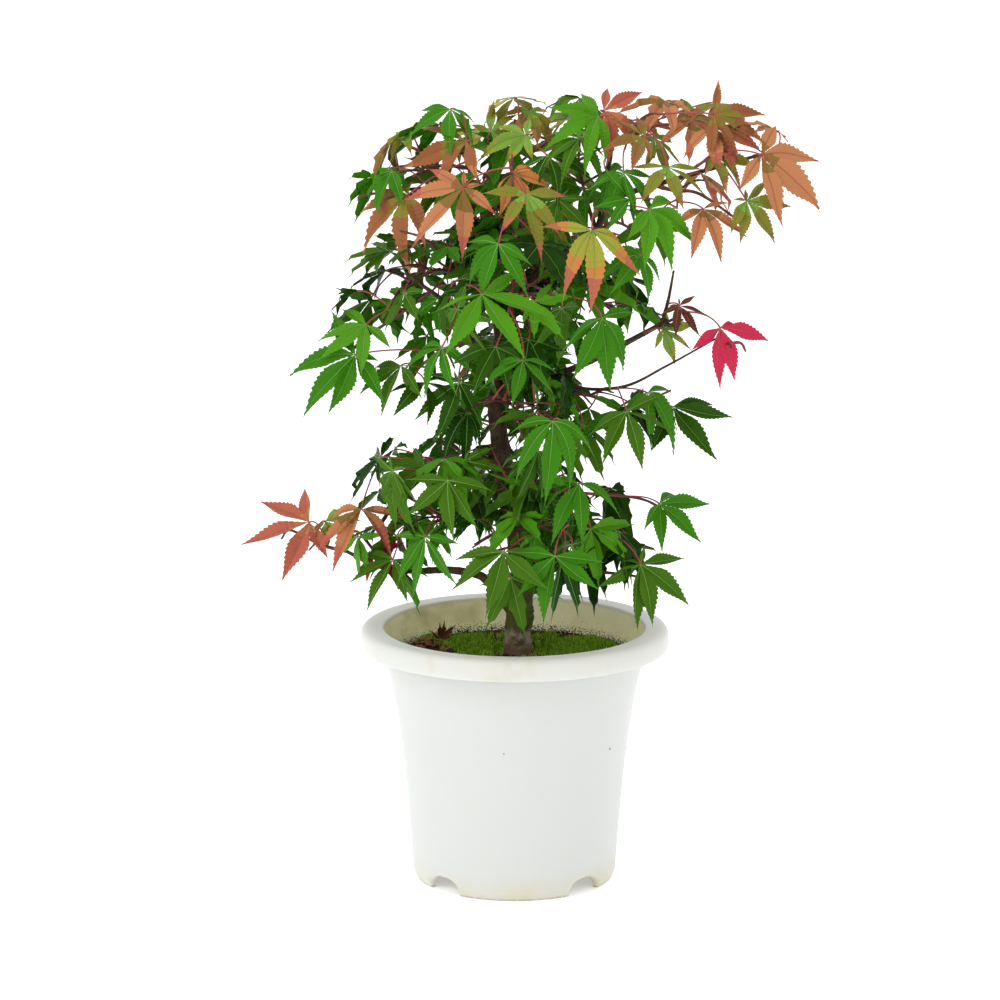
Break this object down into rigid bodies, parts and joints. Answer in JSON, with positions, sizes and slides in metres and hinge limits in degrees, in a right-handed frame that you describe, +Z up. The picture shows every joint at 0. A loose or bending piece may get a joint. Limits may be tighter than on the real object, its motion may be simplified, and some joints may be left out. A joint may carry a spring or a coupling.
{
  "type": "potted japanese maple",
  "caption": "Young bonsai-type Japanese maple with green leaves and salmon to crimson new growth, moss on its soil, in a round white plastic nursery pot",
  "frame": {"origin": "on the ground at the centre of the pot's foot", "axes": "+Z up, -Y to the front of the pot, +X to the right"},
  "size_m": [0.2211, 0.13, 0.3046],
  "materials": {
    "white_plastic": "satin",
    "soil": "matte",
    "moss": "matte",
    "bark": "matte",
    "young_bark": "satin",
    "leaf_green": "satin",
    "leaf_deep_green": "satin",
    "leaf_salmon": "satin",
    "leaf_olive": "satin",
    "leaf_crimson": "satin"
  },
  "bodies": {
    "root": {"pot": "white_plastic", "soil": "soil", "trunk": "bark", "leader_right": "bark", "leader_left": "bark", "low_left_bough_rise": "bark", "low_left_bough_run": "bark", "right_bough": "bark", "right_bough_twig": "young_bark", "crimson_leaf_twig": "young_bark", "top_right_bough": "young_bark", "moss_left": "moss", "moss_right": "moss", "top_left_mass": "leaf_olive", "top_dome_mass": "leaf_green", "top_middle_mass": "leaf_green", "top_right_pad": "leaf_salmon", "top_right_tip_pad": "leaf_salmon", "far_right_spray": "leaf_salmon", "right_hanging_spray": "leaf_salmon", "right_underside_pad": "leaf_olive", "upper_left_mass": "leaf_green", "upper_front_mass": "leaf_green", "upper_back_mass": "leaf_deep_green", "upper_right_mass": "leaf_green", "left_spray": "leaf_salmon", "left_tip_spray": "leaf_green", "left_hanging_spray": "leaf_green", "withered_spray": "leaf_salmon", "crimson_leaf_spray": "leaf_crimson", "middle_front_mass": "leaf_green", "middle_right_mass": "leaf_green", "middle_back_mass": "leaf_deep_green", "middle_left_mass": "leaf_green", "low_front_mass": "leaf_green", "low_right_mass": "leaf_green", "low_back_mass": "leaf_deep_green", "low_left_mass": "leaf_green", "low_left_pad": "leaf_salmon", "low_left_tip_spray": "leaf_salmon", "low_left_hanging_spray": "leaf_green", "right_upper_spray": "leaf_green", "right_lower_spray": "leaf_green"}
  },
  "joints": []
}
